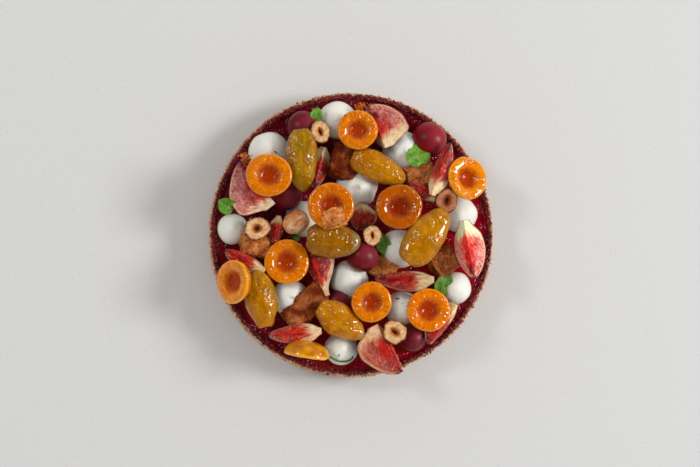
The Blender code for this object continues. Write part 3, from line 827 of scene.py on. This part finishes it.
def make_fig(length, radius, left, right, outline, haze, seed, late=0.0, rind_share=THIN_RIND):
    """A fig wedge lofted along its axis, and which of its points can carry seeds."""
    stations, across, arc = 70, 24, 26
    share = 0.5 * (1.0 - np.cos(math.pi * np.arange(stations) / (stations - 1)))
    share = FIG_TIP + (1.0 - FIG_TIP) * share
    climb = np.arange(1, across + 1) / across
    out = np.r_[0.0, climb, np.ones(arc - 1), climb[::-1]]
    swing = np.linspace(-right, left, arc + 1)
    angle = np.r_[-right, np.full(across, -right), swing[1:-1], np.full(across, left)]
    side = np.r_[0, np.full(across, -1), np.zeros(arc - 1), np.full(across, 1)]
    s = np.repeat(share, len(out))
    q = np.tile(out, stations)
    a = np.radians(np.tile(angle, stations))
    face = np.tile(side, stations)
    size = radius * fig_radius(s, outline)
    zero = np.zeros(len(s))
    around = np.c_[zero, np.sin(a), -np.cos(a)]
    wavy = 1.0 + 0.06 * noise(np.c_[4.0 * s, 2.0 * a, zero], 1.0, seed)
    local = np.c_[(s - 0.5) * length, zero, zero] + around * (q * size * wavy)[:, None]
    lift = np.c_[zero, face * np.cos(a), face * np.sin(a)]
    lift[q == 0.0] = (0.0, 0.0, 1.0)
    inner = size * (1.0 - q)
    # Fibres fan out from the neck: their angle there, and how far along they are.
    reach = (1.0 - s) * length + 2.0
    fan = np.c_[11.0 * np.arctan2(q * size, reach), 0.2 * np.hypot(q * size, reach), 3.0 * face]
    thick = radius * rind_share * (1.0 + 0.36 * noise(local, 3.0, seed + 1))
    pulp = smooth(0.0, 0.9, inner - thick) * (face != 0)
    pulp = np.where(q == 0.0, 1.0, pulp)
    toward = s + 0.10 * q + 0.10 * noise(fan, 0.9, seed + 2) + 0.05 * noise(local, 4.0, seed + 3)
    neck = smooth(0.58 + late, 0.90 + 0.6 * late, toward)
    bulge = 0.5 * pulp * smooth(0.0, 0.3, q) * (1.0 - neck)
    flesh = 0.30 * noise(local, 1.6, seed + 4) + 0.14 * noise(local, 0.7, seed + 5)
    swell = bulge + (1.0 - neck) * pulp * flesh + 0.25 * noise(local, 5.0, seed + 6) * pulp
    local = local + lift * swell[:, None]
    red, dark, bright = rgb(182, 16, 10), rgb(92, 4, 8), rgb(226, 58, 30)
    meat = mixed(red, dark, 0.35 + 1.3 * noise(fan, 0.9, seed + 7) + 0.5 * smooth(0.35, 0.0, s))
    lit = smooth(0.15, 0.55, noise(fan, 0.6, seed + 8)) * smooth(0.15, 0.45, s)
    meat = mixed(meat, bright, 0.85 * lit)
    # Pale pink haze on the flesh: partly the pulp's own colour, partly a painted sheen.
    cloud_and_sheen = mixed(rgb(226, 146, 130), rgb(172, 74, 72), 0.45 + 1.2 * noise(local, 1.1, seed + 9))
    cloud_and_sheen = mixed(cloud_and_sheen, rgb(238, 184, 160), 0.5 * smooth(0.2, 0.6, noise(fan, 0.5, seed + 10)))
    haze_and_sheen = haze * smooth(0.15, 0.6, q + 0.5 * (0.45 - s) + 0.25 * noise(local, 4.0, seed + 11))
    meat = mixed(meat, cloud_and_sheen, haze_and_sheen)
    band = smooth(0.5, 0.15, q + 0.15 * noise(fan, 0.8, seed + 17)) * smooth(0.25, 0.5, s)
    vivid = mixed(rgb(230, 50, 26), rgb(182, 16, 14), 0.5 + noise(fan, 0.7, seed + 18))
    meat = mixed(meat, vivid, 0.85 * haze * band)
    cream = mixed(rgb(244, 220, 172), rgb(228, 186, 126), 0.3 + noise(local, 3.0, seed + 12))
    veined = 0.55 * smooth(0.1, 0.6, noise(fan, 0.8, seed + 13)) * smooth(0.95, 0.6, s)
    cream = mixed(cream, rgb(212, 130, 84), veined)
    tint = mixed(meat, mixed(rgb(220, 110, 74), cream, smooth(0.3, 0.8, neck)), neck)
    rind = mixed(rgb(226, 186, 138), rgb(206, 150, 112), 0.5 + noise(local, 2.0, seed + 14))
    tint = mixed(rind, tint, pulp)
    # Painted light: steep cut faces are painted up to a third lighter, for the light they miss.
    tint = tint * (1.0 + 0.35 * (1.0 - np.sin(np.abs(a))) * (face != 0))[:, None]
    # The blue-grey in the skin is partly its bloom, partly a painted reflection.
    skin = mixed(rgb(40, 16, 30), rgb(88, 78, 106), 0.3 + 1.1 * noise(local, 3.0, seed + 15))
    skin = mixed(skin, rgb(120, 66, 40), 0.6 * smooth(0.2, 0.6, noise(local, 2.0, seed + 16)))
    edge = np.where(face == 0, 1.0, smooth(0.5, 0.2, inner))
    edge = np.where(q == 0.0, 0.0, np.maximum(edge, smooth(0.06, 0.02, s)))
    edge = np.maximum(edge, (s > 0.995) * 0.8)
    tint = mixed(tint, skin, edge)
    ends = np.array([local[: len(out)].mean(0), local[-len(out) :].mean(0)])
    local = np.vstack([local, ends])
    tint = np.vstack([tint, rgb(50, 24, 36), rgb(200, 150, 110)])
    grain = np.vstack([fan, np.zeros((2, 3))]) * MM
    spots = (pulp > 0.9) & (q > 0.22) & (q < 0.9) & (neck < 0.4)
    return local, stack_faces(stations, len(out)), tint, grain, (np.flatnonzero(spots), lift)


def keep_seed_places(world, turn, seeds, count, seed):
    """Picks places on a fig's cut faces, and the way out of the flesh there."""
    spots, lift = seeds
    chosen = np.random.default_rng(300 + seed).choice(spots, min(len(spots), count), replace=False)
    SEED_PLACES.append((world[chosen], (lift @ turn_matrix(turn).T)[chosen]))


def stand_in(node, points, faces, tint, material, grain=None):
    """A finer piece in a CAD topping's place, lighter or darker as TONES says."""
    kind, _, number = node.rpartition("_")
    name, slot = SHOWN[kind]
    tint = tint * TONES.get(node, 1.0)
    return piece(f"{name}_{number}", points, faces, tint, material, [node], grain)


def make_creams_and_sponges():
    for seed, node, radius, tip, lean, lumps, extra in numbered("cream", CREAMS):
        points, faces, tint = make_cream(radius, tip, lean, lumps, seed)
        world = seated(points, (0, 0, 0), node)
        base = world[:, 2].min()
        world[:, 2] = base + (world[:, 2] - base) * (1.0 + extra / radius)
        stand_in(node, world, faces, tint, CREAM_WHITE)
    for seed, node, length, width, height, turn, soaked in numbered("sponge", SPONGES):
        points, faces, tint = make_sponge(length, width, height, soaked, seed)
        stand_in(node, seated(points, turn, node), faces, tint, SPONGE_CRUMB)


def make_fruit_and_nuts():
    for seed, node, size, turn in numbered("grape", GRAPES):
        points, faces, tint, unit = make_grape(size, seed)
        world = unit @ turn_matrix(turn).T
        # Painted sheen: a lilac haze painted on the side of each grape that faces the key light.
        painted_sheen = world @ np.array([0.72, 0.1, 0.55]) + 0.25 * noise(world, 0.5, seed + 90)
        tint = mixed(tint, rgb(160, 56, 74), 0.40 * smooth(0.1, 0.75, painted_sheen))
        stand_in(node, seated(points, turn, node), faces, tint, GRAPE_SKIN)
    for seed, node, dx, dy, radius, left, right, outline, haze in numbered("fig", FIGS):
        length, turn = math.hypot(dx, dy), (math.degrees(math.atan2(dy, dx)), 0, 0)
        late, rind_share = LATE_NECKS.get(node, 0.0), WIDE_RINDS.get(node, THIN_RIND)
        local, faces, tint, grain, seeds = make_fig(
            length, radius, left, right, outline, haze, seed, late, rind_share
        )
        world = seated(local, turn, node)
        stand_in(node, world, faces, tint, FIG_CUT, grain)
        keep_seed_places(world, turn, seeds, int(radius * (0.8 + 5.5 * haze)), seed)
    for seed, node, length, width, turn, hollow, slit in numbered("hazelnut", NUTS):
        points, faces, tint, grain = make_nut(length, width, hollow, slit, seed)
        stand_in(node, seated(points, turn, node), faces, tint, NUT_FLESH, grain)
    for seed, node, *sizes, heading, green, pale in numbered("plum_back", PLUM_BACKS):
        narrow = NARROW_STEMS.get(node, 0.0)
        points, faces, tint, grain = make_plum_back(*sizes, green, pale, narrow, seed)
        stand_in(node, seated(points, (heading, 0, 0), node), faces, tint, PLUM_SKIN, grain)
    for seed, node, length, width, turn in numbered("plum_cup", PLUM_CUPS):
        points, faces, tint, grain = make_plum_cup(length, width, seed)
        obj = stand_in(node, seated(points, turn, node), faces, tint, PLUM_FLESH, grain)
        obj.data.materials.append(PLUM_HOLLOW)
        radius = length / 2.0
        inside = reach(points) < HOLLOW_SHARE * radius
        inside &= points[:, 2] > -0.5 * length / 2.0
        for face in obj.data.polygons:
            face.material_index = int(all(inside[list(face.vertices)]))


def make_seeds():
    """The figs' seeds, half sunk in the flesh."""
    places = np.vstack([p for p, _ in SEED_PLACES])
    ways = np.vstack([w for _, w in SEED_PLACES])
    rng = np.random.default_rng(41)
    count = len(places)
    size = rng.uniform(0.30, 0.5, (count, 1)) * np.array([[1.0, 0.85, 0.6]])
    tints = mixed(rgb(236, 172, 92), rgb(196, 96, 36), rng.uniform(0, 1, count))
    scattered("fig_seeds", places + ways * 0.15 * MM, size, tints, SEED_TAN, 42, rough=0.12)


# ---- what the CAD leaves out

# Leaves: x, y, length, width, heading, pitch, roll, teeth, darkness.
LEAVES = [
    (-20.6, 66.4, 7.6, 6.8, 75, 8, 6, 7, 0.1),
    (-70.4, 14.0, 9.6, 9.0, 150, 12, -10, 6, 0.4),
    (36.6, 43.6, 12.8, 13.2, 115, -4, 8, 11, 0.0),
    (17.6, -6.0, 11.6, 8.0, 105, 10, -12, 7, 0.25),
    (51.3, -28.8, 12.0, 10.6, 70, 6, 10, 11, 0.3),
    (-31.4, -2.2, 12.0, 3.4, 8, 4, 30, 1, 0.4),
]
LEAF_OVER = 1.6


def make_leaf(length, width, teeth, dark, seed):
    """A small thin leaf with rounded teeth, a crease along its middle and side veins."""
    edge, columns, thick = 16, 96, 0.16
    out = np.linspace(0.0, 1.0, edge + 1)
    up = np.c_[out, np.full(edge + 1, thick)]
    down = np.c_[out[::-1], np.full(edge + 1, -thick)]
    points, faces, angle, _ = rings(np.vstack([up, down]), columns)
    share = reach(points)
    notch = 0.16 * np.exp(-(((angle - math.pi) / 0.22) ** 2))
    lobes = 1.0 + 0.06 * np.abs(np.cos(0.5 * teeth * angle)) - notch
    shape = lobes * (1.0 + 0.03 * noise(np.c_[np.cos(angle), np.sin(angle), angle * 0], 0.5, seed))
    x = 0.5 * length * share * shape * np.cos(angle)
    y = 0.5 * width * share * shape * np.sin(angle) * (1.0 - 0.18 * np.cos(angle))
    across = np.abs(y) / (0.5 * width)
    vein = np.exp(-((across / 0.05) ** 2))
    slant = x - 0.8 * np.abs(y)
    side = smooth(0.75, 1.0, np.cos(slant * 2.0 * math.pi / (0.22 * length))) * (across < 0.85)
    cup = 0.9 * across**2 - 0.5 * (x / (0.5 * length)) ** 2
    cup = cup + 0.5 * noise(np.c_[x, y, x * 0], 4.0, seed + 1)
    z = points[:, 2] * np.where(share > 0.97, 0.2, 1.0) + cup - 0.25 * vein - 0.12 * side
    green = mixed(rgb(118, 168, 44), rgb(72, 128, 20), 0.4 + noise(np.c_[x, y, z], 2.5, seed + 2))
    green = mixed(green, rgb(46, 92, 16), [dark])
    tint = mixed(green, rgb(156, 196, 90), 0.6 * np.maximum(vein, 0.5 * side))
    return np.c_[x, y, z], faces, tint


def make_tube(path, radius, columns=10):
    """A thin round stalk along a path of points."""
    path = curve(path, 16)
    ahead = np.gradient(path, axis=0)
    ahead /= np.linalg.norm(ahead, axis=1, keepdims=True)
    side = np.cross(ahead, (0.0, 0.0, 1.0))
    side /= np.linalg.norm(side, axis=1, keepdims=True)
    other = np.cross(side, ahead)
    angle = np.linspace(0, 2 * math.pi, columns, endpoint=False)
    ring = side[:, None] * np.cos(angle)[:, None] + other[:, None] * np.sin(angle)[:, None]
    points = (path[:, None] + radius * ring).reshape(-1, 3)
    return np.vstack([points, path[:1], path[-1:]]), stack_faces(len(path), columns)


def make_stalk(name, path, radius, colour):
    points, faces = make_tube(path, radius)
    tint = np.tile(colour, (len(points), 1))
    piece(name, points * MM, faces, tint, LEAF_GREEN)


def make_leaves():
    """Each leaf lies over the highest thing below it, and the first one has a stalk."""
    for seed, name, x, y, length, width, *turn, teeth, dark in numbered("leaf", LEAVES):
        points, faces, tint = make_leaf(length, width, teeth, dark, seed)
        top = height_at(x, y, 0.35 * width) + LEAF_OVER
        world = set_down(points, turn, x, y, top)
        piece(name, world, faces, tint, LEAF_GREEN)
    top = height_at(-21.2, 67.6, 2.0)
    path = [(-20.4, 64.6, top - 0.8), (-19.4, 62.6, top - 0.2), (-17.2, 61.4, top + 0.2)]
    make_stalk("leaf_stalk", path + [(-14.6, 61.2, top - 0.2)], 0.42, rgb(74, 128, 44))


def make_small_pieces():
    """Bits too small or hidden for the CAD: a cream kiss, fig slivers and a sponge crumb."""
    points, faces, tint = make_cream(10.5, 1.0, 0, 0.5, 50)
    world = set_down(points, (0, 0, 0), -27.5, 8.4, 27.5)
    piece("cream_kiss_13", world, faces, tint, CREAM_WHITE)
    slivers = {
        "fig_sliver_1": (20.0, 6.5, 24, 50, FIG_OVAL, 0.3, 40.4, 23.2, -30, 36.5),
        "fig_sliver_2": (16.0, 7.0, 40, 36, FIG_OVAL, 0.1, -42.8, 2.0, 80, 33.0),
    }
    for seed, (name, row) in enumerate(slivers.items(), 20):
        length, radius, left, right, outline, haze, x, y, heading, top = row
        local, faces, tint, grain, seeds = make_fig(length, radius, left, right, outline, haze, seed)
        world = set_down(local, (heading, 0, 0), x, y, top)
        piece(name, world, faces, tint, FIG_CUT, (), grain)
        keep_seed_places(world, (heading, 0, 0), seeds, 8, seed)
    points, faces, tint = make_sponge(16.0, 12.5, 7.5, 0.15, 9)
    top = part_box("plum_cup_3")[1].z / MM + 1.2
    world = set_down(points, (12, 0, -8), -11.6, 7.6, top)
    piece("sponge_chunk_7", world, faces, tint, SPONGE_CRUMB)


def make_specks():
    """Stray crumbs and herb bits on the cream and on a plum, and a green strip at one cream's foot."""
    specks = [
        (-43.4, 45.3, 1.3, 0.4, rgb(84, 96, 88)),
        (24.9, -36.6, 1.5, 0.5, rgb(70, 66, 62)),
        (-33.4, -36.1, 0.6, 0.6, rgb(196, 150, 108)),
        (-4.8, 64.8, 0.7, 0.4, rgb(30, 16, 10)),
        (27.4, -39.4, 0.4, 0.3, rgb(120, 90, 60)),
        (-7.6, -68.4, 0.9, 0.4, rgb(86, 120, 60)),
    ]
    places = np.array([(x, y, height_at(x, y, 0.9)) for x, y, _, _, _ in specks]) * MM
    sizes = np.array([(long, wide, 0.25) for _, _, long, wide, _ in specks])
    frames = np.array([turn_matrix((-35 + 20 * i, 0, 0)) for i in range(len(specks))])
    tints = np.array([row[4] for row in specks])
    scattered("stray_specks", places, sizes, tints, SEED_TAN, 63, 0.2, frames)
    strip = [(-12.6, -69.2), (-8.6, -71.2), (-4.4, -71.8), (-1.2, -71.0), (0.6, -69.0)]
    path = [(x, y, height_at(x, y, 0.8)) for x, y in strip]
    make_stalk("herb_strip", path, 0.6, rgb(84, 120, 54))


def make_amber_crumbs():
    """Two heaps of toasted sugar crumbs by the fig wedges at the rim, and a few strays."""
    rng = np.random.default_rng(61)
    places, sizes = [], []
    for x, y, spread, count in ((5.2, 72.6, 2.6, 90), (-60.4, 40.4, 3.0, 110)):
        base = height_at(x, y, 1.5)
        for _ in range(count):
            dx, dy = rng.normal(0.0, spread / 2.0, 2)
            heap = 1.8 * math.exp(-(dx * dx + dy * dy) / (spread * spread / 2.0))
            places.append((x + dx, y + dy, base + heap * rng.uniform(0.2, 1.0)))
            sizes.append(rng.uniform(0.3, 0.75) * rng.uniform(0.7, 1.2, 3))
    tints = mixed(rgb(232, 130, 24), rgb(158, 66, 10), rng.uniform(0, 1, len(places)))
    scattered("amber_crumbs", np.array(places) * MM, np.array(sizes), tints, AMBER, 62)


# ---- camera, light and floor

CAMERA_TARGET = (0.16, 1.51, 0.0)
CAMERA_AWAY_MM = 1000.0
CAMERA_TILT = 4.5
CAMERA_SIDE = 225.0
CAMERA_LENS = 89.02
# Half the floor's side in metres, and how bright the room is and looks in gloss at wall height.
FLOOR_HALF = 1.6
EVEN_LIGHT = 0.48
WALLS = 0.35


def make_camera():
    """A camera almost straight above, with +Y up the picture."""
    tilt, side = math.radians(CAMERA_TILT), math.radians(CAMERA_SIDE)
    away = Vector((math.sin(tilt) * math.cos(side), math.sin(tilt) * math.sin(side), math.cos(tilt)))
    right = Vector((0.0, 1.0, 0.0)).cross(away).normalized()
    up = away.cross(right)
    data = bpy.data.cameras.new("camera")
    data.sensor_width = 36.0
    data.lens = CAMERA_LENS
    data.clip_start = 0.05
    data.clip_end = 20.0
    camera = linked("camera", data)
    place = (Vector(CAMERA_TARGET) + away * CAMERA_AWAY_MM) * MM
    camera.matrix_world = Matrix.Translation(place) @ Matrix((right, up, away)).transposed().to_4x4()
    bpy.context.scene.camera = camera


def area_light(name, place, size, power, colour=(1.0, 1.0, 1.0)):
    """A square light at that place, in metres, that faces the tart."""
    data = bpy.data.lights.new(name, "AREA")
    data.size = size
    data.energy = power
    data.color = colour
    light = linked(name, data)
    light.location = place
    light.rotation_mode = "QUATERNION"
    light.rotation_quaternion = Vector(place).to_track_quat("Z", "Y")


def make_light():
    area_light("key", (1.90, 0.19, 1.52), 0.72, 34.5, (1.0, 1.0, 0.99))
    area_light("left_window", (-1.20, 0.55, 1.55), 0.42, 7.0)
    world = bpy.data.worlds.new("room")
    world.use_nodes = True
    tree = world.node_tree
    # Even light from all round, but what shows in gloss is a dark ceiling and dim walls.
    way = add(tree, "SeparateXYZ", Vector=add(tree, "TexCoord").outputs["Generated"])
    dim = add(tree, "MapRange", From_Min=0.30, From_Max=0.90, To_Min=WALLS, To_Max=0.0)
    dim.interpolation_type = "SMOOTHSTEP"
    fill(tree, dim, Value=way.outputs["Z"])
    glossy = add(tree, "LightPath").outputs["Is Glossy Ray"]
    strength = add(tree, "Mix", Factor=glossy, A=EVEN_LIGHT, B=dim.outputs["Result"]).outputs["Result"]
    fill(tree, tree.nodes["Background"], Color=(1.0, 0.99, 0.975, 1.0), Strength=strength)
    bpy.context.scene.world = world
    bpy.context.scene.view_settings.view_transform = "Standard"


def make_floor():
    """A pale floor with faint spots and fine grit."""
    half = FLOOR_HALF
    corners = [(-half, -half, 0), (half, -half, 0), (half, half, 0), (-half, half, 0)]
    mesh = bpy.data.meshes.new("floor")
    mesh.from_pydata(corners, [], [(0, 1, 2, 3)])
    material = bpy.data.materials.new("floor_pale")
    material.use_nodes = True
    tree = material.node_tree
    place = add(tree, "TexCoord").outputs["Object"]
    spots = add(tree, "TexNoise", Scale=1500.0, Detail=4.0, Vector=place)
    ramp = add(tree, "ValToRGB", Fac=spots.outputs["Fac"])
    for stop, position, level in zip(ramp.color_ramp.elements, (0.3, 0.7), (0.69, 0.75)):
        stop.position = position
        stop.color = (level, level, level, 1.0)
    grit = add(tree, "TexNoise", Scale=1100.0, Detail=1.0, Vector=place)
    speck = add(tree, "MapRange", From_Min=0.68, From_Max=0.76, To_Max=0.5, Value=grit.outputs["Fac"])
    blend = add(tree, "Mix", Factor=speck.outputs["Result"])
    blend.data_type = "RGBA"
    pale, dark = [socket for socket in blend.inputs if socket.type == "RGBA"]
    dark.default_value = (0.30, 0.28, 0.27, 1.0)
    tree.links.new(ramp.outputs["Color"], pale)
    blended = next(socket for socket in blend.outputs if socket.type == "RGBA")
    shader = tree.nodes["Principled BSDF"]
    fill(tree, shader, Roughness=0.8, Specular_IOR_Level=0.2, Base_Color=blended)
    mesh.materials.append(material)
    floor = linked("floor", mesh)


make_camera()
make_light()
make_floor()
make_crust()
make_crust_crumbs()
make_jelly()
make_creams_and_sponges()
make_fruit_and_nuts()
make_small_pieces()
make_seeds()
make_amber_crumbs()
make_specks()
make_leaves()
